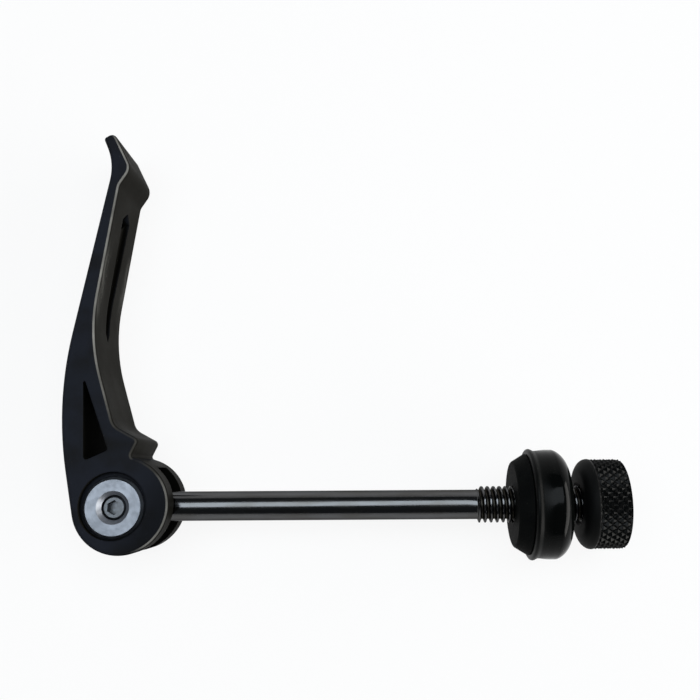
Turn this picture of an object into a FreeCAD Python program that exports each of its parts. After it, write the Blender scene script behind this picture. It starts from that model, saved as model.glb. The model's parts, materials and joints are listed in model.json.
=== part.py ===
import FreeCAD, Part
import math
import os

# Quick-release seat binder bolt, in millimetres.
# Each piece is drawn in the bolt's own axes: the pivot at the origin, X along the rod towards the nut,
# Y up the lever, Z along the pivot. The whole bolt is then laid on its side, as it comes to rest.

Vector = FreeCAD.Vector
ORIGIN = Vector(0, 0, 0)
ROD_AXIS = Vector(1, 0, 0)
LEVER_AXIS = Vector(0, 1, 0)
PIVOT_AXIS = Vector(0, 0, 1)

# Rod
shank_diameter = 4.85
thread_diameter = 6.0
thread_start = 58.8
thread_chamfer = 0.6
rod_tail = 3.4
rod_end_setback = 0.4

# Pivot barrel and its set screw
barrel_diameter = 9.8
barrel_recess = 0.5
barrel_chamfer = 0.45
screw_diameter = 4.0
screw_pilot_diameter = 3.3
screw_sink = 0.7
screw_chamfer = 0.4
screw_countersink = 0.65
hex_width = 2.1
hex_depth = 1.4

# Fits: radial room for what turns or slides, and for what is screwed home
running_fit = 0.05
screwed_fit = 0.02
slot_room = 0.5

# Lever: width, cam ears and fork
lever_width = 13.0
lever_length = 63.45
ear_radius = 7.8
cam_throw = 1.25
cam_angle = 14.0
slot_root = 6.4
counterbore_diameter = 10.9
counterbore_lift = 0.25
counterbore_depth = 1.0
edge_bevel = 0.4
tip_corner = 1.0

# Corners of the lever's side outline as (x, y, radius), from the notch up the inner side and down the back
notch_angle = 73.0
notch_run = 0.95
notch_radius = 0.5
nose = (3.9, 10.8, 0.8)
nose_root = (-0.3, 13.1, 2.5)
waist = (-4.8, 27.9, 32.0)
stop_foot_drop = 9.55
stop_peak_drop = 6.55
tip_slope_drop = 1.05
tip_curl_drop = 5.55
stop_foot = (-1.15, lever_length - stop_foot_drop, 2.0)
stop_peak = (0.75, lever_length - stop_peak_drop, 2.4)
tip_inner = (-2.5, lever_length, 1.0)
tip_outer = (-4.25, lever_length - tip_slope_drop, 0.55)
tip_curl = (-2.35, lever_length - tip_curl_drop, 10.0)
belly = (-10.0, 17.1, 60.0)

# Corners of the three-sided window through the lever's neck
window_top = (-5.62, 21.4, 0.2)
window_heel = (-4.9, 7.4, 0.5)
window_toe = (-1.0, 9.15, 0.5)

# Groove in the lever's inner face, with a deeper pointed pocket at each end
groove_low = 27.8
groove_high = 50.9
groove_width_low = 1.7
groove_width_high = 3.8
groove_depth = 0.8
pocket_length = 3.0
pocket_depth = 1.4

# Cup washer and its insert, placed from the insert's flat face
insert_face = 64.9
insert_face_radius = 7.0
insert_lip_radius = 8.3
insert_stand_out = 2.4
cup_radius = 9.0
cup_depth = 6.4
cup_wall = 1.0
cup_corner = 2.2
bead_height = 0.15
bead_width = 1.3
bead_front = 0.55
inside_bevel = 1.2
insert_room = 0.05

# Knurled nut, turned back a little from the cup so that the thread shows between them
nut_radius = 7.4
nut_length = 7.1
nut_face_radius = 5.2
nut_shoulder = 1.0
nut_shoulder_bulge = 0.35
nut_chamfer = 0.4
nut_countersink = 0.6
nut_gap = 2.15

# Places along the rod that follow from the sizes above
rim_x = insert_face + insert_stand_out
cup_back_x = rim_x + cup_depth
nut_face_x = cup_back_x + nut_gap
nut_end_x = nut_face_x + nut_length
rod_end_x = nut_end_x - rod_end_setback
bead_radius = cup_radius + bead_height
half_width = lever_width / 2
barrel_end = half_width - barrel_recess
reach = lever_length + lever_width


def turned(steps):
    """Solid of revolution about the rod from (x, radius) steps; a step of two such points is an arc."""
    edges = []
    here = None
    for step in steps:
        if here is not None and isinstance(step[0], tuple):
            middle, there = (Vector(x, r, 0) for x, r in step)
            edges.append(Part.Arc(here, middle, there).toShape())
        else:
            there = Vector(step[0], step[1], 0)
            if here is not None:
                edges.append(Part.LineSegment(here, there).toShape())
        here = there
    edges.append(Part.LineSegment(here, Vector(steps[0][0], steps[0][1], 0)).toShape())
    return Part.Face(Part.Wire(edges)).revolve(ORIGIN, ROD_AXIS, 360)


def bowed(start, end, bulge):
    """Two straight steps from start to end whose middle stands off the direct line, away from the rod."""
    run = Vector(end[0] - start[0], end[1] - start[1], 0)
    out = Vector(-run.y, run.x, 0).normalize() * bulge
    middle = ((start[0] + end[0]) / 2 + out.x, (start[1] + end[1]) / 2 + out.y)
    return [start, middle, end]


def rounding(before, corner, after, radius):
    """First, middle and last point of the arc that rounds a corner."""
    back = (before - corner).normalize()
    ahead = (after - corner).normalize()
    half = back.getAngle(ahead) / 2
    setback = radius / math.tan(half)
    inward = (back + ahead).normalize() * (radius / math.sin(half) - radius)
    return corner + back * setback, corner + inward, corner + ahead * setback


def rounded_run(start, corners, end):
    """Edges from start to end with straight runs between rounded corners."""
    points = [start] + [Vector(x, y, 0) for x, y, radius in corners] + [end]
    edges = []
    here = start
    for index, (x, y, radius) in enumerate(corners, 1):
        first, middle, last = rounding(points[index - 1], points[index], points[index + 1], radius)
        edges.append(Part.LineSegment(here, first).toShape())
        edges.append(Part.Arc(first, middle, last).toShape())
        here = last
    edges.append(Part.LineSegment(here, end).toShape())
    return edges


def rounded_loop(corners):
    """Closed outline of straight runs with rounded corners, started halfway along the last run."""
    first, last = corners[0], corners[-1]
    start = Vector((first[0] + last[0]) / 2, (first[1] + last[1]) / 2, 0)
    return Part.Face(Part.Wire(rounded_run(start, corners, start)))


def through_width(face):
    """Prism of an outline across the lever's whole width."""
    face.translate(PIVOT_AXIS * -half_width)
    return face.extrude(PIVOT_AXIS * lever_width)


def pivot_cylinder(diameter, low, high):
    """Cylinder about the pivot axis between two heights."""
    return Part.makeCylinder(diameter / 2, high - low, PIVOT_AXIS * low, PIVOT_AXIS)


def on_ear(degrees):
    """Point of the cam ear's rim at an angle from the rod's direction."""
    angle = math.radians(degrees)
    return ear_centre() + Vector(math.cos(angle), math.sin(angle), 0) * ear_radius


def ear_centre():
    """Centre of the cam ears, off the pivot by the cam's throw."""
    angle = math.radians(cam_angle)
    return Vector(math.cos(angle), math.sin(angle), 0) * cam_throw


def back_tangent_angle():
    """Angle on the ear's rim where the line from the belly corner touches it."""
    line = Vector(belly[0], belly[1], 0) - ear_centre()
    return math.degrees(math.atan2(line.y, line.x) + math.acos(ear_radius / line.Length))


def lever_outline():
    """Side outline: cam ear, notch, nose, inner side, stop, thumb tip and back, as one closed face."""
    heel_angle = back_tangent_angle()
    middle_angle = (heel_angle + notch_angle + 360) / 2
    heel, toe = on_ear(heel_angle), on_ear(notch_angle)
    along = Vector(toe.y - ear_centre().y, ear_centre().x - toe.x, 0).normalize()
    notch_corner = toe - along * notch_run
    notch = (notch_corner.x, notch_corner.y, notch_radius)
    corners = [notch, nose, nose_root, waist, stop_foot, stop_peak, tip_inner, tip_outer, tip_curl, belly]
    rim = Part.Arc(heel, on_ear(middle_angle), toe).toShape()
    return Part.Face(Part.Wire([rim] + rounded_run(toe, corners, heel)))


def bevelled(blank):
    """The lever's blank with the edges of both side faces bevelled."""
    rims = [edge for edge in blank.Edges
            if abs(edge.BoundBox.ZMin) > half_width - edge_bevel and edge.BoundBox.ZLength < edge_bevel]
    return blank.makeChamfer(edge_bevel, rims)


def tip_corners():
    """What comes off the thumb tip so that its two corners are round, seen from the inner side."""
    low, side = lever_length - tip_corner, half_width - tip_corner
    cutters = []
    for z in (side, -side):
        corner = Vector(-reach, low, min(z, z * half_width / side))
        square = Part.makeBox(2 * reach, tip_corner, tip_corner, corner)
        cutters.append(square.cut(Part.makeCylinder(tip_corner, 2 * reach, Vector(-reach, low, z), ROD_AXIS)))
    return cutters


def groove_half(y):
    """Half the groove's width at a height, growing evenly towards the thumb tip."""
    share = (y - groove_low) / (groove_high - groove_low)
    return (groove_width_low + (groove_width_high - groove_width_low) * share) / 2


def pointed_plan(low, high, point):
    """Prism over the inner face: a strip up the lever with a point at each end."""
    wide = [(low + point, groove_half(low + point)), (high - point, groove_half(high - point))]
    plan = [(low, 0)] + wide + [(high, 0)] + [(y, -half) for y, half in reversed(wide)]
    corners = [Vector(belly[0] / 2, y, z) for y, z in plan]
    face = Part.Face(Part.makePolygon(corners + corners[:1]))
    return face.extrude(ROD_AXIS * reach)


def grooved(lever, blank):
    """The lever with its groove and end pockets cut to an even depth under the inner face."""
    pockets = [(groove_low, groove_low + pocket_length), (groove_high - pocket_length, groove_high)]
    cuts = [(groove_low, groove_high, groove_depth)] + [(low, high, pocket_depth) for low, high in pockets]
    for low, high, depth in cuts:
        inner_half = blank.translated(ROD_AXIS * -depth)
        lever = lever.cut(pointed_plan(low, high, pocket_length / 2).cut(inner_half))
    return lever


def make_lever():
    """One casting: forked cam end, window, groove, stop and curled thumb tip."""
    blank = through_width(lever_outline())
    lever = grooved(bevelled(blank), blank)
    slot = shank_diameter + 2 * slot_room
    fork = Part.makeBox(2 * reach, reach + slot_root, slot, Vector(-reach, -reach, -slot / 2))
    bore = pivot_cylinder(barrel_diameter + 2 * running_fit, -half_width, half_width)
    lift = LEVER_AXIS * counterbore_lift
    seats = [pivot_cylinder(counterbore_diameter, low, low + counterbore_depth).translated(lift)
             for low in (-half_width, half_width - counterbore_depth)]
    window = through_width(rounded_loop([window_top, window_heel, window_toe]))
    for cutter in [fork, bore, window] + seats + tip_corners():
        lever = lever.cut(cutter)
    return lever


def make_barrel():
    """Cross dowel with the rod's hole across it and the set screw's hole down its axis."""
    body = pivot_cylinder(barrel_diameter, -barrel_end, barrel_end)
    rims = [edge for edge in body.Edges if edge.BoundBox.ZLength < barrel_chamfer]
    body = body.makeChamfer(barrel_chamfer, rims)
    rod_hole = Part.makeCylinder(shank_diameter / 2 + screwed_fit, 2 * barrel_diameter,
                                 ROD_AXIS * -barrel_diameter, ROD_AXIS)
    tapped = pivot_cylinder(screw_diameter + 2 * screwed_fit, screw_foot(), barrel_end)
    pilot = pivot_cylinder(screw_pilot_diameter, 0, barrel_end)
    hole_radius = screw_diameter / 2 + screwed_fit
    mouth = Part.makeCone(hole_radius, hole_radius + screw_countersink, screw_countersink,
                          PIVOT_AXIS * (barrel_end - screw_countersink), PIVOT_AXIS)
    for cutter in (rod_hole, pilot, tapped, mouth):
        body = body.cut(cutter)
    return body


def screw_foot():
    """Height of the set screw's foot, just clear of the rod."""
    return shank_diameter / 2 + 2 * running_fit


def make_set_screw():
    """Headless screw with a hexagon socket, bearing on the rod's end."""
    low, high = screw_foot(), barrel_end - screw_sink
    body = pivot_cylinder(screw_diameter, low, high)
    rims = [edge for edge in body.Edges if edge.BoundBox.ZLength < screw_chamfer]
    body = body.makeChamfer(screw_chamfer, rims)
    corner = hex_width / 2 / math.cos(math.radians(30))
    angles = [math.radians(60 * side + 30) for side in range(7)]
    points = [Vector(corner * math.cos(a), corner * math.sin(a), high - hex_depth) for a in angles]
    return body.cut(Part.Face(Part.makePolygon(points)).extrude(PIVOT_AXIS * hex_depth))


def make_rod():
    """Plain shank screwed into the barrel, with a larger rolled thread at the nut's end."""
    shank, thread = shank_diameter / 2, thread_diameter / 2
    return turned([
        (-rod_tail, 0), (-rod_tail, shank - thread_chamfer), (thread_chamfer - rod_tail, shank),
        (thread_start, shank), (thread_start + thread - shank, thread),
        (rod_end_x - thread_chamfer, thread), (rod_end_x, thread - thread_chamfer), (rod_end_x, 0)])


def make_cup_washer():
    """Rounded cup with a bead at its open rim and the rod's hole in its floor."""
    bore = thread_diameter / 2 + running_fit
    inside = cup_radius - cup_wall
    floor_x, corner_x = cup_back_x - cup_wall, cup_back_x - cup_corner
    diagonal = cup_corner * math.sin(math.radians(45))
    return turned([
        (floor_x, bore), (cup_back_x, bore), (cup_back_x, cup_radius - cup_corner),
        ((corner_x + diagonal, cup_radius - cup_corner + diagonal), (corner_x, cup_radius)),
        (rim_x + bead_width, cup_radius), (rim_x + bead_width - bead_height, bead_radius),
        (rim_x + bead_front, bead_radius), (rim_x, bead_radius - bead_front), (rim_x, inside),
        (floor_x - inside_bevel, inside), (floor_x, inside - inside_bevel)])


def make_seat_insert():
    """Insert that fills the cup: flat ring towards the lever, slope, and a lip in front of the cup's rim."""
    bore = thread_diameter / 2 + running_fit
    outside = cup_radius - cup_wall - insert_room
    back_x = cup_back_x - cup_wall - insert_room
    lip_x = rim_x - insert_room
    return turned([
        (back_x, bore), (insert_face, bore), (insert_face, insert_face_radius),
        (lip_x, insert_lip_radius), (lip_x, outside),
        (back_x - inside_bevel, outside), (back_x, outside - inside_bevel)])


def make_nut():
    """Thumb nut: smooth round shoulder, band for the knurl, chamfer and a countersink at both ends."""
    bore = thread_diameter / 2 + running_fit
    face = (nut_face_x, nut_face_radius)
    band = (nut_face_x + nut_shoulder, nut_radius)
    return turned([
        (nut_face_x + nut_countersink, bore), (nut_face_x, bore + nut_countersink),
        *bowed(face, band, nut_shoulder_bulge), (nut_end_x - nut_chamfer, nut_radius),
        (nut_end_x, nut_radius - nut_chamfer), (nut_end_x, bore + nut_countersink),
        (nut_end_x - nut_countersink, bore)])


def lay_down(pieces):
    """Turns the bolt about Y until cup rim and lever cheek touch the ground, then centres it."""
    heel_x = pieces["lever"].BoundBox.XMin + edge_bevel
    rim_contact_x = rim_x + bead_width / 2
    tilt = math.degrees(math.asin((bead_radius - half_width) / (rim_contact_x - heel_x)))
    for shape in pieces.values():
        shape.rotate(ORIGIN, LEVER_AXIS, -tilt)
    box = Part.makeCompound(list(pieces.values())).optimalBoundingBox(False)
    shift = Vector(-box.Center.x, -box.Center.y, -box.ZMin)
    for shape in pieces.values():
        shape.translate(shift)
    print("pivot at", [round(value, 4) for value in shift], "tilt", round(tilt, 5))


def main():
    """Builds every piece, lays the bolt down and writes one file for each piece."""
    pieces = {
        "lever": make_lever(),
        "pivot_barrel": make_barrel(),
        "set_screw": make_set_screw(),
        "rod": make_rod(),
        "cup_washer": make_cup_washer(),
        "seat_insert": make_seat_insert(),
        "knurled_nut": make_nut(),
    }
    lay_down(pieces)
    os.makedirs("parts", exist_ok=True)
    for name, shape in pieces.items():
        shape.exportStep("parts/" + name + ".step")
        print(name, shape.ShapeType, len(shape.Solids), shape.isValid(), round(shape.Volume, 1))


main()
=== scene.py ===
"""A seat binder bolt: cam lever, cross barrel, threaded rod, cup washer with insert, and thumb nut."""

import json
import math

import bpy
import numpy as np
from mathutils import Matrix, Vector


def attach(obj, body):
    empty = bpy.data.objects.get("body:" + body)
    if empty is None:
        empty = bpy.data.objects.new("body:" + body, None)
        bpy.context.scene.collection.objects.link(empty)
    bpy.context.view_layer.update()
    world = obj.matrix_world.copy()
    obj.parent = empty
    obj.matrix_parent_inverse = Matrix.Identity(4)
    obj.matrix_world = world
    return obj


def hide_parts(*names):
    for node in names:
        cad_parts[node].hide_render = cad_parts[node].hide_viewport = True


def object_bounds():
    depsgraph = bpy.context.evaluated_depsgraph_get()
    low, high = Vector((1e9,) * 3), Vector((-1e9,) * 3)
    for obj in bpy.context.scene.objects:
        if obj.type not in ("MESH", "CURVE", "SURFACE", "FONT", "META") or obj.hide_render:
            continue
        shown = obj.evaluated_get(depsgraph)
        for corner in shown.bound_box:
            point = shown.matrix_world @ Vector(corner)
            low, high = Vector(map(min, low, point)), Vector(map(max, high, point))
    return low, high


bl_info = {
    "name": "Seat binder bolt",
    "version": (1, 0, 0),
    "blender": (4, 5, 0),
    "location": "3D View > Sidebar > Binder bolt",
    "description": "Thread, knurl, cup and finishes of a quick-release seat binder bolt",
    "category": "Object",
}

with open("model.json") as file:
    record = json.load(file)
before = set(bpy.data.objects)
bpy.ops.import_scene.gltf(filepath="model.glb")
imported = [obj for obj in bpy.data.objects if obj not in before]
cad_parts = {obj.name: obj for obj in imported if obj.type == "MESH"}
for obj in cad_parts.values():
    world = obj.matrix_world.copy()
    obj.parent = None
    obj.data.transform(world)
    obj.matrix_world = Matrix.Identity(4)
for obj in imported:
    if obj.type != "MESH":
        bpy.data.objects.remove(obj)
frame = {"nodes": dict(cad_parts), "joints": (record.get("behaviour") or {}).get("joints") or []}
CAD_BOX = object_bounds()
MM = 0.001
FULL_TURN = 2 * math.pi


def unit(vector):
    """The vector divided by its own length."""
    vector = np.array(vector, dtype=float)
    return vector / np.linalg.norm(vector)


# The bolt's own axes, from the pivot: X along the rod towards the nut, Y up the lever, Z along the pivot.
JOINTS = {joint["name"]: joint for joint in frame["joints"]}
PIVOT = np.array(JOINTS["lever_pivot"]["pos_m"], dtype=float)
ROD_AXIS = unit(JOINTS["washer_slide"]["axis"])
PIN_AXIS = unit(JOINTS["lever_pivot"]["axis"])
LEVER_AXIS = np.cross(PIN_AXIS, ROD_AXIS)
BOLT_AXES = np.stack([ROD_AXIS, LEVER_AXIS, PIN_AXIS])


def to_row(points):
    """Points in the bolt's axes, carried into the frame that all pieces share."""
    return PIVOT + np.asarray(points) @ BOLT_AXES


def turned_size(node):
    """A turned node's start and end along the rod and its outer radius, read from its own mesh."""
    mesh = frame["nodes"][node].data
    corners = np.empty(len(mesh.vertices) * 3)
    mesh.vertices.foreach_get("co", corners)
    local = (corners.reshape(-1, 3) - PIVOT) @ BOLT_AXES.T
    return local[:, 0].min(), local[:, 0].max(), np.hypot(local[:, 1], local[:, 2]).max()


ROD_START, ROD_END, THREAD_RADIUS = turned_size("rod")
CUP_RIM, CUP_BACK, CUP_BEAD = turned_size("cup_washer")
INSERT_FACE, INSERT_BACK, INSERT_RADIUS = turned_size("seat_insert")
NUT_SEAT, NUT_END, NUT_RADIUS = turned_size("knurled_nut")


def length(name, text, millimetres):
    """A length setting in metres, given in millimetres."""
    default = millimetres * MM
    return bpy.props.FloatProperty(name=name, description=text, default=default, unit="LENGTH", precision=5)


def lengths(name, text, millimetres):
    """A setting of two or three lengths in metres, given in millimetres."""
    default = [value * MM for value in millimetres]
    return bpy.props.FloatVectorProperty(
        name=name, description=text, default=default, size=len(default), unit="LENGTH", precision=5
    )


def share(name, text, default):
    """A setting between 0 and 1."""
    return bpy.props.FloatProperty(
        name=name, description=text, default=default, min=0, max=1, precision=4, subtype="FACTOR"
    )


def amount(name, text, default, unit="NONE"):
    """A setting that is a plain number or, with a unit, a power."""
    return bpy.props.FloatProperty(name=name, description=text, default=default, unit=unit)


def angle_of(name, text, degrees):
    """An angle setting, given in degrees."""
    default = math.radians(degrees)
    return bpy.props.FloatProperty(name=name, description=text, default=default, subtype="ANGLE")


def colour(name, text, default):
    """A colour setting, in linear red, green and blue."""
    return bpy.props.FloatVectorProperty(
        name=name, description=text, default=default, size=3, min=0, max=1, subtype="COLOR"
    )


def number(name, text, default):
    """A whole-number setting."""
    return bpy.props.IntProperty(name=name, description=text, default=default, min=3)


class BoltForms(bpy.types.PropertyGroup):
    """Sizes of the turned pieces."""

    shank_radius: length("Shank radius", "Radius of the plain rod", 2.425)
    thread_start: length("Thread start", "Where the thread begins, from the pivot", 58.8)
    thread_pitch: length("Thread pitch", "Step of one turn of the thread", 1.0)
    thread_depth: length("Thread depth", "Depth of the thread below its crest", 0.6)
    thread_runout: length("Thread run-out", "Length over which the thread rises from the shank", 0.45)
    rod_chamfer: length("Rod chamfer", "Bevel at both ends of the rod", 0.6)
    cup_radius: length("Cup radius", "Outer radius of the cup's wall", 9.0)
    cup_corner: length("Cup corner", "Rounding between the cup's wall and its back", 2.2)
    corner_flat: amount("Corner flat", "Flatness of the cup's corner, 1 for a true round", 1.3)
    cup_wall: length("Cup wall", "Thickness of the cup", 1.0)
    bead_width: length("Bead width", "Width of the rolled bead's rounded front", 0.45)
    bead_flank: length("Bead flank", "Length of the hollow behind the bead", 0.9)
    bead_groove: length("Bead groove", "Depth of the hollow behind the bead, below the wall", 0.18)
    bead_rise: length("Hollow's rise", "Length over which the hollow comes back to the wall", 2.0)
    bead_skin: length("Bead skin", "How far the bead stays inside the plain cup", 0.01)
    insert_face_radius: length("Insert face radius", "Radius of the flat face that meets the frame lug", 7.0)
    insert_edge: length("Insert edge", "Rounding round the flat face", 0.5)
    insert_room: length("Insert room", "Room between the insert and the cup", 0.05)
    insert_lip: length("Insert lip", "Rounding of the lip in front of the cup's rim", 0.15)
    insert_bevel: length("Insert bevel", "Bevel of the insert's hidden back", 1.2)
    bore_room: length("Bore room", "Room between the thread and a bore round it", 0.05)
    nut_face_radius: length("Nut face radius", "Radius of the nut's flat face towards the cup", 5.2)
    nut_shoulder: length("Nut shoulder", "Length of the nut's smooth round shoulder", 1.7)
    nut_smooth: length("Nut smooth band", "Length of the plain band before the knurl", 0.1)
    nut_chamfer: length("Nut chamfer", "Rounding at the nut's outer end", 0.4)
    nut_countersink: length("Nut countersink", "Bevel at the mouth of the nut's bore", 0.6)
    knurl_depth: length("Knurl depth", "Height of the knurl's points", 0.42)
    knurl_step: length("Knurl step", "Length of one knurl diamond along the nut", 1.5)
    knurl_rise: length("Knurl rise", "Length over which the knurl reaches its depth", 0.5)
    knurl_count: number("Knurl count", "Diamonds round the nut", 34)


class BoltFinishes(bpy.types.PropertyGroup):
    """Colours and gloss of the finishes."""

    paint: colour("Lever paint", "Black paint on the lever", (0.0128, 0.0143, 0.0192))
    # Dust tone: in clouds on the lever and specks on the cup, and also a painted warm reflection over the
    # lever's inner side.
    dust_and_warm_reflection: colour("Paint dust", "Dusty tone of the worn paint", (0.008, 0.0073, 0.005))
    paint_gloss: share("Paint gloss", "Strength of the lever's reflections", 0.012)
    # Painted shade: the near-black tone laid in the lever's corners, window, groove and round the cam end,
    # where shade falls.
    painted_shade: colour("Grime", "Dark grime in grooves and corners", (0.0025, 0.0025, 0.002))
    # Bare alloy for the scuffs, also the colour of the painted highlight along the lever's inner bevels.
    alloy_and_highlight: colour("Bare alloy", "Alloy where the paint is rubbed off", (0.46, 0.45, 0.42))
    # Strength of the painted highlight along the lever's inner bevels.
    bevel_highlight_share: share("Rubbed edge", "How much alloy shows along the lever's inner edges", 0.39)
    zinc: colour("Zinc plating", "Bright plating of the cross barrel", (0.222, 0.236, 0.264))
    zinc_dull: colour("Dull zinc", "Duller rings of the plating", (0.188, 0.202, 0.227))
    screw_steel: colour("Screw steel", "Dark oxide steel of the set screw", (0.075, 0.082, 0.091))
    plating: colour("Rod plating", "Dark bright plating of the rod", (0.098, 0.1, 0.104))
    plating_dull: colour("Dull rod plating", "Rubbed and oily parts of the rod", (0.078, 0.077, 0.075))
    plating_edge: colour("Rod edge", "Tint of the rod's reflections at its edges", (0.4, 0.4, 0.4))
    # A darker brown tone laid between the thread's crests.
    thread_root_tone: colour("Thread oil", "Brown oily film between the thread's crests", (0.03, 0.028, 0.024))
    enamel: colour("Cup enamel", "Glossy black enamel of the cup", (0.0015, 0.0018, 0.0017))
    enamel_gloss: share("Enamel gloss", "Strength of the cup's reflections", 0.065)
    plastic: colour("Insert plastic", "Matt black plastic of the insert", (0.0035, 0.0038, 0.0036))
    plastic_gloss: share("Plastic gloss", "Strength of the insert's reflections", 0.02)
    nut_black: colour("Nut black", "Black oxide of the nut", (0.0025, 0.0027, 0.0027))
    nut_worn: colour("Worn nut", "Rubbed points of the knurl", (0.05, 0.052, 0.055))
    nut_gloss: share("Nut gloss", "Strength of the nut's reflections", 0.06)


class BoltStage(bpy.types.PropertyGroup):
    """Floor, lamps and camera. Lamps and camera stand in the bolt's axes."""

    floor: colour("Floor", "Pale floor under the bolt", (0.82, 0.82, 0.82))
    floor_white: share("Floor white", "How much of the floor is even white instead of lit", 0.88)
    wall_white: share("Backdrop white", "How much of the backdrop's top is even white instead of lit", 0.45)
    floor_radius: length("Floor radius", "Radius of the flat floor", 700)
    floor_gap: length("Floor gap", "Room between the floor and the bolt", 0.02)
    sweep_radius: length("Sweep radius", "Radius of the curve from the floor up to the backdrop", 600)
    world: colour("Surroundings", "Even light from all round", (0.055, 0.06, 0.065))
    sky_power: amount("Sky lamp", "Power of the cool lamp above", 1.9, "POWER")
    sky_tone: colour("Sky tone", "Colour of the lamp above", (0.86, 0.94, 1.0))
    sky_place: lengths("Sky place", "Middle of the lamp above", (20, 105, 420))
    sky_target: lengths("Sky target", "Point that the lamp above faces", (35, 10, 0))
    sky_size: lengths("Sky size", "Width and height of the lamp above", (620, 240))
    window_power: amount("Window lamp", "Power of the low lamp beyond the nut", 5.9, "POWER")
    window_tone: colour("Window tone", "Colour of the low lamp", (1.0, 0.98, 0.94))
    window_place: lengths("Window place", "Middle of the low lamp", (670, -96, 180))
    window_target: lengths("Window target", "Point that the low lamp faces", (70, 0, 0))
    window_size: lengths("Window size", "Width and height of the low lamp", (1008, 288))
    focal_pixels: amount("Focal length", "Focal length in pixels", 800.0)
    centre_pixel: amount("Centre", "Pixel column of the optical axis", 375.0)
    frame_pixels: amount("Frame", "Width of the square frame in pixels", 700.0)
    camera_pitch: angle_of("Pitch", "Camera tilt up the lever", 9.09)
    camera_roll: angle_of("Roll", "Camera turn about its axis", 0.35)
    camera_place: lengths("Camera place", "Where the camera stands", (42.13, 4.45, 136.23))


def smooth_step(values):
    """Values held to 0..1 and eased at both ends: 3t^2 - 2t^3."""
    values = np.clip(values, 0, 1)
    return values * values * (3 - 2 * values)


def arc(centre_x, centre_r, radius_x, radius_r, start, end, count, flat=1.0):
    """Points on an ellipse in the profile plane: centre + (radius_x cos a, radius_r sin a), a in degrees.

    Cosine and sine keep their sign and are raised to the power flat. Above 1 it flattens the round
    between the axes."""
    angles = np.radians(np.linspace(start, end, count))
    waves = np.stack([np.cos(angles), np.sin(angles)], axis=1)
    return (centre_x, centre_r) + np.array([radius_x, radius_r]) * np.sign(waves) * np.abs(waves) ** flat


def straight(start, end, count):
    """Evenly spaced points on a line of the profile plane, without its last point."""
    return np.linspace(start, end, count, endpoint=False)


def swept_round(profile, columns):
    """A profile of (x, r) pairs carried round the rod: (x, r cos a, r sin a) at each angle a.

    Returns the grids of x, r and a."""
    angles = np.linspace(0, FULL_TURN, columns, endpoint=False)
    along, angle = np.meshgrid(profile[:, 0], angles, indexing="ij")
    return along, np.repeat(profile[:, 1:2], columns, axis=1), angle


def ring_faces(rows, columns, closed):
    """Quads between neighbouring rows and columns of a grid that closes round, and along too if closed."""
    last = rows if closed else rows - 1
    row, column = np.meshgrid(np.arange(last), np.arange(columns), indexing="ij")
    here, below, beside = row * columns, (row + 1) % rows * columns, (column + 1) % columns
    corners = (here + column, below + column, below + beside, here + beside)
    return np.stack(corners, axis=-1).reshape(-1, 4)


def end_fans(rows, columns):
    """Triangles from two added points, one at each end of an open grid, to the grid's first and last row."""
    column = np.arange(columns)
    beside = (column + 1) % columns
    first, last = rows * columns, (rows - 1) * columns
    front = np.stack([np.full(columns, first), column, beside], axis=1)
    back = np.stack([np.full(columns, first + 1), last + beside, last + column], axis=1)
    return front.tolist() + back.tolist()


def signed_volume(mesh):
    """Sum over the triangles of a . (b x c) / 6, which is above zero where the faces point outwards."""
    mesh.calc_loop_triangles()
    corners = np.empty(len(mesh.loop_triangles) * 3, dtype=np.int32)
    mesh.loop_triangles.foreach_get("vertices", corners)
    points = np.empty(len(mesh.vertices) * 3)
    mesh.vertices.foreach_get("co", points)
    a, b, c = points.reshape(-1, 3)[corners.reshape(-1, 3)].transpose(1, 0, 2)
    return np.einsum("ij,ij->i", a, np.cross(b, c)).sum() / 6


def show(name, mesh):
    """A new object for a smooth mesh, in the scene."""
    mesh.polygons.foreach_set("use_smooth", np.ones(len(mesh.polygons), dtype=bool))
    piece = bpy.data.objects.new(name, mesh)
    bpy.context.scene.collection.objects.link(piece)
    return piece


def turned_piece(name, along, radius, angle, closed, crease, worn=None):
    """A piece from the grids of x, r and a, with sharp edges above the crease angle.

    An open grid gets one point on the axis at each end, joined by a fan. Worn, the height of a thread's or
    knurl's teeth, is kept on the points."""
    points = np.stack([along, radius * np.cos(angle), radius * np.sin(angle)], axis=-1).reshape(-1, 3)
    faces = ring_faces(*along.shape, closed).tolist()
    if not closed:
        poles = [[along[0, 0], 0, 0], [along[-1, 0], 0, 0]]
        points = np.concatenate([points, poles])
        faces += end_fans(*along.shape)
    mesh = bpy.data.meshes.new(name)
    mesh.from_pydata(to_row(points), [], faces)
    if signed_volume(mesh) < 0:
        mesh.flip_normals()
    piece = show(name, mesh)
    mesh.set_sharp_from_angle(angle=math.radians(crease))
    if worn is not None:
        values = np.ones(len(points), dtype=np.float32)
        values[: worn.size] = worn.ravel()
        mesh.attributes.new("worn", "FLOAT", "POINT").data.foreach_set("value", values)
    mesh.update()
    return piece


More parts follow.
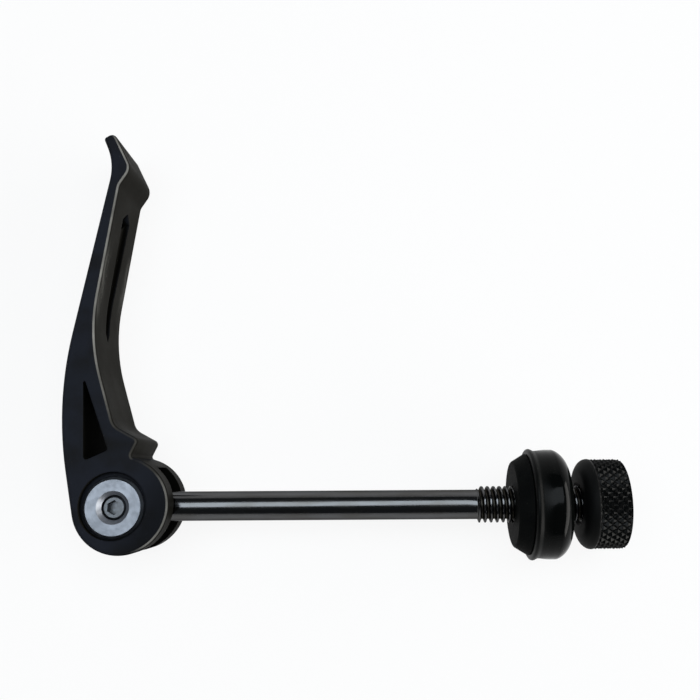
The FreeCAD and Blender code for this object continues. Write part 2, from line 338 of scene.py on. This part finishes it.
class Nodes:
    """A node material, with short calls for the nodes that it needs."""

    def __init__(self, name):
        self.material = bpy.data.materials.new(name)
        self.material.use_nodes = True
        self.tree = self.material.node_tree
        self.shader = self.tree.nodes["Principled BSDF"]

    def add(self, kind, **settings):
        """A new node with its settings."""
        node = self.tree.nodes.new("ShaderNode" + kind)
        for name, value in settings.items():
            setattr(node, name, value)
        return node

    def feed(self, socket, value):
        """Links a socket to another, or sets its value."""
        if isinstance(value, bpy.types.NodeSocket):
            self.tree.links.new(value, socket)
        else:
            socket.default_value = value

    def set(self, **values):
        """Sets sockets of the shader by name, with _ for a space."""
        for name, value in values.items():
            self.feed(self.shader.inputs[name.replace("_", " ")], value)

    def maths(self, operation, first, second=0.0):
        """One sum on two values."""
        node = self.add("Math", operation=operation)
        self.feed(node.inputs[0], first)
        self.feed(node.inputs[1], second)
        return node.outputs[0]

    def both(self, first, *others):
        """The product of masks, which is 1 only where all of them are."""
        for other in others:
            first = self.maths("MULTIPLY", first, other)
        return first

    def either(self, first, *others):
        """The highest of several masks."""
        for other in others:
            first = self.maths("MAXIMUM", first, other)
        return first

    def ramp(self, value, low, high, low_out=0.0, high_out=1.0):
        """Value eased from low..high to low_out..high_out."""
        node = self.add("MapRange", interpolation_type="SMOOTHSTEP")
        limits = {"From Min": low, "From Max": high, "To Min": low_out, "To Max": high_out}
        self.feed(node.inputs["Value"], value)
        for name, limit in limits.items():
            node.inputs[name].default_value = limit
        return node.outputs[0]

    def axes(self, vector):
        """The three coordinates of a vector."""
        node = self.add("SeparateXYZ")
        self.feed(node.inputs[0], vector)
        return node.outputs


class Finish(Nodes):
    """A node material on the bolt's own axes."""

    def __init__(self, name):
        super().__init__(name)
        turn = Matrix(BOLT_AXES.tolist())
        mapping = self.add("Mapping")
        mapping.inputs["Rotation"].default_value = turn.to_euler()
        mapping.inputs["Location"].default_value = -(turn @ Vector(PIVOT))
        self.feed(mapping.inputs["Vector"], self.add("TexCoord").outputs["Object"])
        self.place = mapping.outputs["Vector"]

    def split(self):
        """The three coordinates in the bolt's axes, in metres."""
        return self.axes(self.place)

    def past(self, value, edge, low_out=0.0, high_out=1.0):
        """Rises where a value passes an edge, given as (middle, half its soft width) in millimetres."""
        middle, soft = edge
        return self.ramp(value, (middle - soft) * MM, (middle + soft) * MM, low_out, high_out)

    def before(self, value, edge, low_out=1.0, high_out=0.0):
        """Falls where a value passes an edge."""
        return self.past(value, edge, low_out, high_out)

    def noise(self, scale, detail=3.0, where=None):
        """Soft noise, scale in repeats a metre. Three scales stretch it along the bolt's axes."""
        node = self.add("TexNoise")
        node.inputs["Detail"].default_value = detail
        if isinstance(scale, tuple):
            stretch = self.add("VectorMath", operation="MULTIPLY")
            self.feed(stretch.inputs[0], self.place)
            stretch.inputs[1].default_value = scale
            scale, where = 1.0, stretch.outputs[0]
        node.inputs["Scale"].default_value = scale
        self.feed(node.inputs["Vector"], where or self.place)
        return node.outputs[0]

    def blend(self, amount, first, second):
        """A mix of two colours."""
        node = self.add("Mix", data_type="RGBA")
        self.feed(node.inputs["Factor"], amount)
        sockets = [socket for socket in node.inputs if socket.type == "RGBA"]
        for socket, tone in zip(sockets, (first, second)):
            self.feed(socket, tone if isinstance(tone, bpy.types.NodeSocket) else (*tone, 1.0))
        return [socket for socket in node.outputs if socket.type == "RGBA"][0]

    def attribute(self, name):
        """A value stored on the mesh's points."""
        return self.add("Attribute", attribute_name=name).outputs["Fac"]

    def towards(self, axis):
        """How far the true surface faces towards an axis, from -1 to 1."""
        node = self.add("VectorMath", operation="DOT_PRODUCT")
        self.feed(node.inputs[0], self.add("NewGeometry").outputs["True Normal"])
        node.inputs[1].default_value = tuple(axis)
        return node.outputs["Value"]

    def facing(self, axis):
        """How far the true surface faces along an axis either way, from 0 to 1."""
        return self.maths("ABSOLUTE", self.towards(axis))

    def openness(self, distance):
        """How open the surface is within a distance, from 0 in a corner to 1."""
        node = self.add("AmbientOcclusion", samples=8)
        node.inputs["Distance"].default_value = distance
        return node.outputs["AO"]

    def radius(self, first, second):
        """Distance from an axis, from the two coordinates across it."""
        squares = (self.maths("MULTIPLY", side, side) for side in (first, second))
        return self.maths("SQRT", self.maths("ADD", *squares))

    def bump(self, height, depth, below=None):
        """A normal from a height between 0 and 1, with depth in metres."""
        node = self.add("Bump")
        node.inputs["Distance"].default_value = depth
        self.feed(node.inputs["Height"], height)
        if below is not None:
            self.feed(node.inputs["Normal"], below)
        return node.outputs[0]

    def softened(self, radius):
        """A normal that rounds the edges over a small radius."""
        node = self.add("Bevel")
        node.inputs["Radius"].default_value = radius
        return node.outputs[0]


def finish_piece(piece, finish):
    """Gives a piece its finish as its only material."""
    piece.data.materials.clear()
    piece.data.materials.append(finish.material)


# Edges of the zones on the lever, each as (middle, half its soft width) in millimetres in the bolt's axes.
WINDOW_BACK, WINDOW_FRONT = (-6.4, 0.2), (2.85, 0.15)
WINDOW_FOOT, WINDOW_TOP = (6.8, 0.2), (21.8, 0.2)
WINDOW_SLANT = 0.377
GROOVE_SIDE, GROOVE_FOOT, GROOVE_TOP = (2.1, 0.1), (27.3, 0.3), (51.5, 0.3)
# The last edge here bounds the painted shade over the cam ear's side towards the rod.
CAM_RIM, SLOT_SIDE, CAM_SHADE_SIDE = (10.0, 1.0), (4.75, 0.25), (5.0, 4.0)
WORN_SIDE, WORN_FOOT, WORN_TOP = (4.3, 0.9), (32.5, 3.5), (42.5, 3.5)
BLADE_FOOT, EAR_TOP, BEVEL_SIDE = (19.0, 7.0), (5.0, 2.0), (6.24, 0.08)


def paint_scuffs(finish):
    """Soft rubbed bands with fine specks along both edges of the inner face, half way up the lever."""
    _, up, across = finish.split()
    smudge = finish.ramp(finish.noise((700.0, 180.0, 1300.0), 2.0), 0.3, 0.8, 0.0, 0.12)
    specks = finish.ramp(finish.noise(6500.0, 2.0), 0.64, 0.71, 0.0, 0.3)
    side = finish.past(finish.maths("ABSOLUTE", across), WORN_SIDE)
    inner = finish.ramp(finish.towards(ROD_AXIS), 0.6, 0.8)
    place = finish.both(side, finish.past(up, WORN_FOOT), finish.before(up, WORN_TOP), inner)
    return finish.both(place, finish.either(smudge, specks))


def window_painted_shade(finish):
    """Painted shade: 1 on the walls inside the lever's window, between its back side and its slanted front
    side.
    """
    along, up, _ = finish.split()
    slant = finish.maths("ADD", along, finish.maths("MULTIPLY", up, WINDOW_SLANT))
    between = finish.both(finish.past(along, WINDOW_BACK), finish.before(slant, WINDOW_FRONT))
    wall = finish.ramp(finish.facing(PIN_AXIS), 0.3, 0.5, 1.0, 0.0)
    return finish.both(wall, between, finish.past(up, WINDOW_FOOT), finish.before(up, WINDOW_TOP))


def groove_painted_shade(finish, openness):
    """Painted shade: 1 in the long groove of the inner face, found by its place and by how closed it is."""
    _, up, across = finish.split()
    narrow = finish.before(finish.maths("ABSOLUTE", across), GROOVE_SIDE)
    closed = finish.ramp(openness, 0.75, 0.97, 1.0, 0.0)
    return finish.both(closed, narrow, finish.past(up, GROOVE_FOOT), finish.before(up, GROOVE_TOP))


def cam_painted_shade(finish):
    """Painted shade on the cam end: 1 on the two walls of the rod's slot, and about a half outside towards
    the rod.
    """
    along, up, across = finish.split()
    near = finish.before(finish.radius(along, up), CAM_RIM)
    inside = finish.before(finish.maths("ABSOLUTE", across), SLOT_SIDE)
    wall = finish.both(inside, finish.ramp(finish.facing(PIN_AXIS), 0.8, 0.95))
    lower_front = finish.maths("SUBTRACT", along, finish.maths("MULTIPLY", up, 0.5))
    lower_front_shade = finish.past(lower_front, CAM_SHADE_SIDE, 0.0, 0.55)
    return finish.both(near, finish.either(wall, lower_front_shade))


def bevel_highlight(finish, inner_side):
    """Painted highlight: 1 on the outer part of the lever's inner bevels, in patches, strongest up the blade
    and round the ear.
    """
    _, up, across = finish.split()
    facing = finish.facing(PIN_AXIS)
    bevel = finish.both(finish.ramp(facing, 0.35, 0.6), finish.ramp(facing, 0.8, 0.95, 1.0, 0.0))
    patchy = finish.ramp(finish.noise(300.0), 0.25, 0.8, 0.5, 1.0)
    highlight_reach = finish.either(finish.past(up, BLADE_FOOT, 0.2, 1.0), finish.before(up, EAR_TOP, 0.8, 0.0))
    outer = finish.past(finish.maths("ABSOLUTE", across), BEVEL_SIDE)
    return finish.both(bevel, inner_side, patchy, highlight_reach, outer)


def lever_paint(look):
    """Satin black paint on a casting: fine grain, dust clouds and scuffs, with painted light: a warm
    reflection on the inner side, shade in corners, window, groove and cam end, and a highlight along the
    inner bevels.
    """
    finish = Finish("lever_paint")
    cloud = finish.noise(160.0, 4.0)
    grain = finish.noise(5200.0)
    inner_side = finish.ramp(finish.towards(ROD_AXIS), 0.15, 0.45)
    openness = finish.openness(1.3 * MM)
    # Painted shade: where the ambient occlusion finds the surface closed, the near-black tone goes.
    corners = finish.ramp(openness, 0.35, 0.75, 1.0, 0.0)
    painted_shade = finish.either(corners, window_painted_shade(finish), groove_painted_shade(finish, openness), cam_painted_shade(finish))
    # Dust in random clouds, and a painted warm reflection over the whole inner side.
    dust_and_reflection = finish.either(finish.ramp(cloud, 0.4, 0.75, 0.0, 0.6), finish.both(inner_side, 0.85))
    tone = finish.blend(dust_and_reflection, look.paint, look.dust_and_warm_reflection)
    tone = finish.blend(painted_shade, tone, look.painted_shade)
    # Painted highlight: the light alloy colour along the inner bevels.
    tone = finish.blend(finish.both(bevel_highlight(finish, inner_side), look.bevel_highlight_share), tone, look.alloy_and_highlight)
    tone = finish.blend(paint_scuffs(finish), tone, look.alloy_and_highlight)
    satin = finish.ramp(finish.maths("ADD", cloud, finish.both(grain, 0.4)), 0.4, 1.0, 0.46, 0.62)
    finish.set(Base_Color=tone, Specular_IOR_Level=look.paint_gloss)
    finish.set(Roughness=finish.either(satin, finish.both(painted_shade, 0.85)))
    finish.set(Normal=finish.bump(grain, 0.012 * MM, finish.softened(0.35 * MM)))
    return finish


def barrel_zinc(look):
    """Bright zinc plating with turned rings about the pivot."""
    finish = Finish("barrel_zinc")
    along, up, _ = finish.split()
    from_pivot = finish.add("CombineXYZ")
    finish.feed(from_pivot.inputs[0], finish.radius(along, up))
    rings = finish.noise(5200.0, 2.0, from_pivot.outputs[0])
    cloud = finish.noise(900.0)
    dull = finish.ramp(finish.maths("ADD", rings, cloud), 0.7, 1.35)
    finish.set(Base_Color=finish.blend(dull, look.zinc, look.zinc_dull), Metallic=1.0)
    finish.set(Roughness=finish.ramp(cloud, 0.3, 0.75, 0.4, 0.52), Normal=finish.bump(rings, 0.006 * MM))
    return finish


def screw_steel(look):
    """Dark oxide steel with a fine grain."""
    finish = Finish("screw_steel")
    grain = finish.noise(3800.0)
    tone = finish.blend(finish.ramp(grain, 0.3, 0.75), look.screw_steel, look.plating)
    finish.set(Base_Color=tone, Metallic=1.0)
    finish.set(Roughness=finish.ramp(grain, 0.3, 0.7, 0.28, 0.45), Normal=finish.bump(grain, 0.008 * MM))
    return finish


def rod_plating(look):
    """Dark bright plating: faint drawn lines along the rod, oily clouds, and a darker brown tone between the
    crests.
    """
    finish = Finish("rod_plating")
    lines = finish.noise((180.0, 5200.0, 5200.0))
    cloud = finish.noise((160.0, 700.0, 700.0))
    on_crest = finish.attribute("worn")
    tone = finish.blend(finish.ramp(cloud, 0.3, 0.75), look.plating, look.plating_dull)
    # Towards the thread's root the darker brown tone takes over.
    finish.set(Base_Color=finish.blend(finish.ramp(on_crest, 0.1, 0.8), look.thread_root_tone, tone), Metallic=1.0)
    polish = finish.ramp(finish.maths("ADD", lines, cloud), 0.7, 1.3, 0.13, 0.22)
    finish.set(Roughness=finish.either(polish, finish.ramp(on_crest, 0.3, 1.0, 0.42, 0.1)))
    finish.set(Specular_Tint=(*look.plating_edge, 1.0), Normal=finish.bump(lines, 0.0015 * MM))
    return finish


def cup_enamel(look, form):
    """Glossy black enamel with slight orange peel and a little dust, duller in the hollow behind the bead."""
    finish = Finish("cup_enamel")
    dust = finish.ramp(finish.noise(6500.0, 2.0), 0.68, 0.74, 0.0, 0.35)
    foot = CUP_RIM + form.bead_width + form.bead_flank
    dull = finish.ramp(finish.split()[0], foot, foot + form.bead_rise, 0.4, 0.1)
    gloss = finish.ramp(finish.noise(420.0), 0.35, 0.7, 0.1, 0.17)
    tone = finish.blend(dust, look.enamel, look.dust_and_warm_reflection)
    peel = finish.noise(1500.0, 2.0)
    finish.set(Base_Color=tone, Roughness=finish.either(gloss, dull), Normal=finish.bump(peel, 0.003 * MM))
    finish.set(Specular_IOR_Level=look.enamel_gloss)
    return finish


def insert_plastic(look):
    """Matt black plastic with a moulded grain."""
    finish = Finish("insert_plastic")
    grain = finish.noise(4200.0)
    tone = finish.blend(finish.ramp(finish.noise(350.0), 0.4, 0.7), look.plastic, look.nut_black)
    finish.set(Base_Color=tone, Specular_IOR_Level=look.plastic_gloss)
    finish.set(Roughness=finish.ramp(grain, 0.3, 0.7, 0.58, 0.74), Normal=finish.bump(grain, 0.012 * MM))
    return finish


def nut_black(look, form):
    """Black oxide on steel, matt on the shoulder and rubbed brighter at the points of the knurl."""
    finish = Finish("nut_black")
    rubbed = finish.both(finish.attribute("worn"), finish.ramp(finish.noise(900.0), 0.3, 0.65))
    tone = finish.blend(finish.ramp(rubbed, 0.75, 1.0, 0.0, 0.4), look.nut_black, look.nut_worn)
    grain = finish.noise(3600.0)
    band = NUT_SEAT + form.nut_shoulder
    matt = finish.ramp(finish.split()[0], band, band + form.knurl_rise, 0.6, 0.1)
    gloss = finish.ramp(grain, 0.3, 0.7, 0.17, 0.28)
    finish.set(Base_Color=tone, Roughness=finish.either(gloss, matt), Normal=finish.bump(grain, 0.006 * MM))
    finish.set(Specular_IOR_Level=look.nut_gloss)
    return finish


def rod_surface(form):
    """The rod: r is the shank, or root + depth * tooth(x / pitch - a / turn), a flat-topped trapezoid.

    The tooth's height rises from nothing over the run-out, and r never passes the bevels at the two ends.
    Also returns how high each point stands in the thread, 0 at the thread's root and 1 at its crest and on
    the shank."""
    chamfer = form.rod_chamfer
    shank_start, thread_start = ROD_START + chamfer, form.thread_start
    turns = (ROD_END - thread_start) / form.thread_pitch
    head = np.linspace(ROD_START, shank_start, 4, endpoint=False)
    shank = np.linspace(shank_start, thread_start, 40, endpoint=False)
    thread = np.linspace(thread_start, ROD_END, int(turns * 16))
    rows = np.concatenate([head, shank, thread])
    along, radius, angle = swept_round(np.stack([rows, np.full(len(rows), form.shank_radius)], axis=1), 72)
    phase = (along - thread_start) / form.thread_pitch - angle / FULL_TURN
    tooth = smooth_step((0.40 - np.abs(phase - np.round(phase))) / 0.30)
    rise = smooth_step((along - thread_start) / form.thread_runout)
    root = THREAD_RADIUS - form.thread_depth
    radius = radius + rise * (root + form.thread_depth * tooth - radius)
    bevel = np.minimum(along - ROD_START, ROD_END - along) + root - chamfer * 0.4
    return along, np.minimum(radius, np.maximum(bevel, root - chamfer)), angle, 1 - rise * (1 - tooth)


def cup_surface(form):
    """The cup: a closed profile of rolled bead, eased hollow, wall, round corner, back, bore and inside.

    The bead's front is a quarter ellipse. Behind its top r eases down to the hollow and up to the wall."""
    corner, wall = form.cup_corner, form.cup_wall
    bore, bead = THREAD_RADIUS + form.bore_room, CUP_BEAD - form.bead_skin
    bead_low, hollow = form.cup_radius - wall * 0.5, form.cup_radius - form.bead_groove
    inner, inside_corner = form.cup_radius - wall, corner - wall
    floor = CUP_BACK - wall
    top = CUP_RIM + form.bead_width
    behind = np.linspace(top, CUP_BACK - corner, 40)[1:-1]
    fall = smooth_step((behind - top) / form.bead_flank)
    rise = smooth_step((behind - top - form.bead_flank) / form.bead_rise)
    outside = bead + fall * (hollow - bead) + rise * (form.cup_radius - hollow)
    pieces = [
        arc(top, bead_low, form.bead_width, bead - bead_low, 180, 90, 12),
        np.stack([behind, outside], axis=1),
        arc(CUP_BACK - corner, form.cup_radius - corner, corner, corner, 90, 0, 33, form.corner_flat),
        straight((CUP_BACK, form.cup_radius - corner), (CUP_BACK, bore), 6)[1:],
        straight((CUP_BACK, bore), (floor, bore), 3),
        straight((floor, bore), (floor, inner - inside_corner), 4),
        arc(floor - inside_corner, inner - inside_corner, inside_corner, inside_corner, 0, 90, 13),
        straight((CUP_BACK - corner, inner), (CUP_RIM, inner), 6)[1:],
        straight((CUP_RIM, inner), (CUP_RIM, bead_low), 3),
    ]
    return swept_round(np.concatenate(pieces), 160)


def insert_surface(form):
    """The insert: a closed profile of flat face, rounded edge, slope, rounded lip, wall, back and bore."""
    bore, lip = THREAD_RADIUS + form.bore_room, CUP_RIM - form.insert_room
    edge, face, lip_round = form.insert_edge, form.insert_face_radius, form.insert_lip
    wall = form.cup_radius - form.cup_wall - form.insert_room
    back = INSERT_BACK - form.insert_bevel
    turn = 90 - math.degrees(math.atan2(INSERT_RADIUS - face, lip - INSERT_FACE))
    flat = face - edge * math.tan(math.radians(turn / 2))
    pieces = [
        straight((INSERT_FACE, bore), (INSERT_FACE, flat), 10),
        arc(INSERT_FACE + edge, flat, edge, edge, 180, 180 - turn, 9),
        arc(lip - lip_round, INSERT_RADIUS - lip_round, lip_round, lip_round, 180 - turn, 0, 9),
        straight((lip, wall), (back, wall), 6),
        straight((back, wall), (INSERT_BACK, wall - form.insert_bevel), 3),
        straight((INSERT_BACK, wall - form.insert_bevel), (INSERT_BACK, bore), 6),
        straight((INSERT_BACK, bore), (INSERT_FACE, bore), 8),
    ]
    return swept_round(np.concatenate(pieces), 144)


def knurl_height(form, along, angle):
    """Height of the knurl from 0 to 1: the lower of two triangle waves that wind round both ways."""
    turn = angle * form.knurl_count / FULL_TURN
    step = along / form.knurl_step
    return np.minimum(*(np.abs(2 * (wave - np.floor(wave)) - 1) for wave in (turn + step, turn - step)))


def nut_surface(form):
    """The nut: a closed profile of flat face, round shoulder, band, rounded end, and bevelled bore.

    On the band r drops below the outer radius by depth * (1 - height of the knurl), easing off at its ends.
    Also returns the height of the knurl at each point."""
    bore = THREAD_RADIUS + form.bore_room
    sink, chamfer, face = form.nut_countersink, form.nut_chamfer, form.nut_face_radius
    mouth, band, end = bore + sink, NUT_SEAT + form.nut_shoulder, NUT_END - chamfer
    pieces = [
        straight((NUT_SEAT, mouth), (NUT_SEAT, face), 5),
        arc(band, face, form.nut_shoulder, NUT_RADIUS - face, 180, 90, 15),
        straight((band, NUT_RADIUS), (end, NUT_RADIUS), 66)[1:],
        arc(end, NUT_RADIUS - chamfer, chamfer, chamfer, 90, 0, 8),
        straight((NUT_END, NUT_RADIUS - chamfer), (NUT_END, mouth), 7)[1:],
        straight((NUT_END, mouth), (NUT_END - sink, bore), 4),
        straight((NUT_END - sink, bore), (NUT_SEAT + sink, bore), 8),
        straight((NUT_SEAT + sink, bore), (NUT_SEAT, mouth), 4),
    ]
    along, radius, angle = swept_round(np.concatenate(pieces), form.knurl_count * 12)
    height = knurl_height(form, along - band, angle)
    outer = radius > NUT_RADIUS - chamfer * 0.7
    fade = smooth_step((along - band - form.nut_smooth) / form.knurl_rise) * outer
    return along, radius - fade * form.knurl_depth * (1 - height), angle, fade * height


class OBJECT_OT_bolt_lever(bpy.types.Operator):
    """Paints the cam lever"""

    bl_idname = "object.bolt_lever"
    bl_label = "Cam lever"

    def execute(self, context):
        finish_piece(frame["nodes"]["lever"], lever_paint(context.scene.bolt_finishes))
        return {"FINISHED"}


class OBJECT_OT_bolt_barrel(bpy.types.Operator):
    """Plates the cross barrel and darkens its set screw"""

    bl_idname = "object.bolt_barrel"
    bl_label = "Barrel and set screw"

    def execute(self, context):
        look = context.scene.bolt_finishes
        finish_piece(frame["nodes"]["pivot_barrel"], barrel_zinc(look))
        finish_piece(frame["nodes"]["set_screw"], screw_steel(look))
        return {"FINISHED"}


class OBJECT_OT_bolt_rod(bpy.types.Operator):
    """Turns the rod with its thread"""

    bl_idname = "object.bolt_rod"
    bl_label = "Threaded rod"

    def execute(self, context):
        along, radius, angle, on_crest = rod_surface(context.scene.bolt_forms)
        piece = turned_piece("threaded_rod", along, radius, angle, False, 40, on_crest)
        finish_piece(piece, rod_plating(context.scene.bolt_finishes))
        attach(piece, "skewer")
        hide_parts("rod")
        return {"FINISHED"}


class OBJECT_OT_bolt_cup(bpy.types.Operator):
    """Presses the cup washer and moulds its insert"""

    bl_idname = "object.bolt_cup"
    bl_label = "Cup and insert"

    def execute(self, context):
        form, look = context.scene.bolt_forms, context.scene.bolt_finishes
        cup = turned_piece("enamelled_cup", *cup_surface(form), True, 40)
        insert = turned_piece("moulded_insert", *insert_surface(form), True, 30)
        finish_piece(cup, cup_enamel(look, form))
        finish_piece(insert, insert_plastic(look))
        for piece, node in ((cup, "cup_washer"), (insert, "seat_insert")):
            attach(piece, "washer")
            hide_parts(node)
        return {"FINISHED"}


class OBJECT_OT_bolt_nut(bpy.types.Operator):
    """Turns the thumb nut and rolls its knurl"""

    bl_idname = "object.bolt_nut"
    bl_label = "Knurled nut"

    def execute(self, context):
        form, look = context.scene.bolt_forms, context.scene.bolt_finishes
        along, radius, angle, height = nut_surface(form)
        piece = turned_piece("thumb_nut", along, radius, angle, True, 32, height)
        finish_piece(piece, nut_black(look, form))
        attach(piece, "nut")
        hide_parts("knurled_nut")
        return {"FINISHED"}


def stage_paper(stage):
    """Pale paper: part lit, and part even white to the camera and in reflections, less so up the backdrop."""
    paper = Nodes("stage_paper")
    paper.set(Base_Color=(*stage.floor, 1.0), Roughness=0.9)
    path = paper.add("LightPath").outputs
    seen = paper.either(path["Is Camera Ray"], path["Is Glossy Ray"], path["Is Transmission Ray"])
    height = paper.axes(paper.add("TexCoord").outputs["Object"])["Z"]
    white = paper.ramp(height, 0.0, stage.sweep_radius, stage.floor_white, stage.wall_white)
    mix = paper.add("MixShader")
    paper.feed(mix.inputs[0], paper.both(seen, white))
    paper.feed(mix.inputs[1], paper.shader.outputs[0])
    paper.feed(mix.inputs[2], paper.add("Emission").outputs[0])
    paper.feed(paper.tree.nodes["Material Output"].inputs["Surface"], mix.outputs[0])
    return paper.material


def lay_floor(stage):
    """A round floor just under the bolt that turns up into a backdrop along a quarter circle.

    Its radius is r = flat + R sin a and its height R (1 - cos a), for a from 0 to 90 degrees."""
    columns, turn = 96, np.radians(np.linspace(0, 90, 24))
    flat, sweep = stage.floor_radius, stage.sweep_radius
    out = np.concatenate([[flat / 2], flat + sweep * np.sin(turn)])
    up = CAD_BOX[0][2] - stage.floor_gap + np.concatenate([[0], sweep * (1 - np.cos(turn))])
    up, out, angle = swept_round(np.stack([up, out], axis=1), columns)
    points = np.stack([out * np.cos(angle), out * np.sin(angle), up], axis=-1).reshape(-1, 3)
    mesh = bpy.data.meshes.new("floor")
    mesh.from_pydata(points, [], [list(range(columns))] + ring_faces(*up.shape, False).tolist())
    mesh.materials.append(stage_paper(stage))
    show("floor", mesh)


def hang_lamp(name, place, target, size, power, tone):
    """A soft rectangular lamp at a place in the bolt's axes, turned towards a target."""
    lamp = bpy.data.lights.new(name, "AREA")
    lamp.shape = "RECTANGLE"
    lamp.size, lamp.size_y = size
    lamp.energy, lamp.color = power, tone
    holder = bpy.data.objects.new(name, lamp)
    bpy.context.scene.collection.objects.link(holder)
    start, end = Vector(to_row(place)), Vector(to_row(target))
    holder.location = start
    holder.rotation_euler = (end - start).to_track_quat("-Z", "Y").to_euler()


def light_surroundings(stage):
    """Even light from all round."""
    world = bpy.data.worlds.new("surroundings")
    world.use_nodes = True
    world.node_tree.nodes["Background"].inputs["Color"].default_value = (*stage.world, 1.0)
    bpy.context.scene.world = world


def aim_camera(stage):
    """A camera that looks down on the bolt, pitched up the lever and turned a little about its axis."""
    pitch, roll = stage.camera_pitch, stage.camera_roll
    forward = np.array([0, math.sin(pitch), -math.cos(pitch)])
    upright = np.array([0, math.cos(pitch), math.sin(pitch)])
    side = np.array([1.0, 0, 0])
    right = side * math.cos(roll) - upright * math.sin(roll)
    up = upright * math.cos(roll) + side * math.sin(roll)
    turn = Matrix((np.stack([right, up, -forward]) @ BOLT_AXES).T.tolist()).to_4x4()
    camera = bpy.data.cameras.new("camera")
    camera.sensor_width = 36.0
    camera.lens = camera.sensor_width * stage.focal_pixels / stage.frame_pixels
    camera.shift_x = (stage.frame_pixels / 2 - stage.centre_pixel) / stage.frame_pixels
    camera.clip_start = 5 * MM
    holder = bpy.data.objects.new("camera", camera)
    holder.matrix_world = Matrix.Translation(Vector(to_row(stage.camera_place))) @ turn
    bpy.context.scene.collection.objects.link(holder)
    bpy.context.scene.camera = holder


class OBJECT_OT_bolt_stage(bpy.types.Operator):
    """Lays the floor, hangs the lamps and aims the camera"""

    bl_idname = "object.bolt_stage"
    bl_label = "Stage"

    def execute(self, context):
        stage = context.scene.bolt_stage
        lay_floor(stage)
        for lamp in ("sky", "window"):
            place, target, size, power, tone = (
                getattr(stage, f"{lamp}_{part}") for part in ("place", "target", "size", "power", "tone")
            )
            hang_lamp(f"{lamp}_lamp", place, target, size, power, tone)
        light_surroundings(stage)
        context.scene.view_settings.view_transform = "Standard"
        aim_camera(stage)
        return {"FINISHED"}


OPERATORS = (
    OBJECT_OT_bolt_lever,
    OBJECT_OT_bolt_barrel,
    OBJECT_OT_bolt_rod,
    OBJECT_OT_bolt_cup,
    OBJECT_OT_bolt_nut,
    OBJECT_OT_bolt_stage,
)
SETTINGS = {"bolt_forms": BoltForms, "bolt_finishes": BoltFinishes, "bolt_stage": BoltStage}


class VIEW3D_PT_bolt(bpy.types.Panel):
    """Lists the bolt's pieces and settings"""

    bl_idname = "VIEW3D_PT_bolt"
    bl_label = "Binder bolt"
    bl_space_type = "VIEW_3D"
    bl_region_type = "UI"
    bl_category = "Binder bolt"

    def draw(self, context):
        for operator in OPERATORS:
            self.layout.operator(operator.bl_idname)
        for name, settings in SETTINGS.items():
            box = self.layout.box()
            for setting in settings.__annotations__:
                box.prop(getattr(context.scene, name), setting)


def register():
    for kind in (*SETTINGS.values(), *OPERATORS, VIEW3D_PT_bolt):
        bpy.utils.register_class(kind)
    for name, settings in SETTINGS.items():
        setattr(bpy.types.Scene, name, bpy.props.PointerProperty(type=settings))


def unregister():
    for name in SETTINGS:
        delattr(bpy.types.Scene, name)
    for kind in (VIEW3D_PT_bolt, *reversed(OPERATORS), *SETTINGS.values()):
        bpy.utils.unregister_class(kind)


def main():
    register()
    bpy.ops.object.bolt_lever()
    bpy.ops.object.bolt_barrel()
    bpy.ops.object.bolt_rod()
    bpy.ops.object.bolt_cup()
    bpy.ops.object.bolt_nut()
    bpy.ops.object.bolt_stage()


if __name__ == "__main__":
    main()
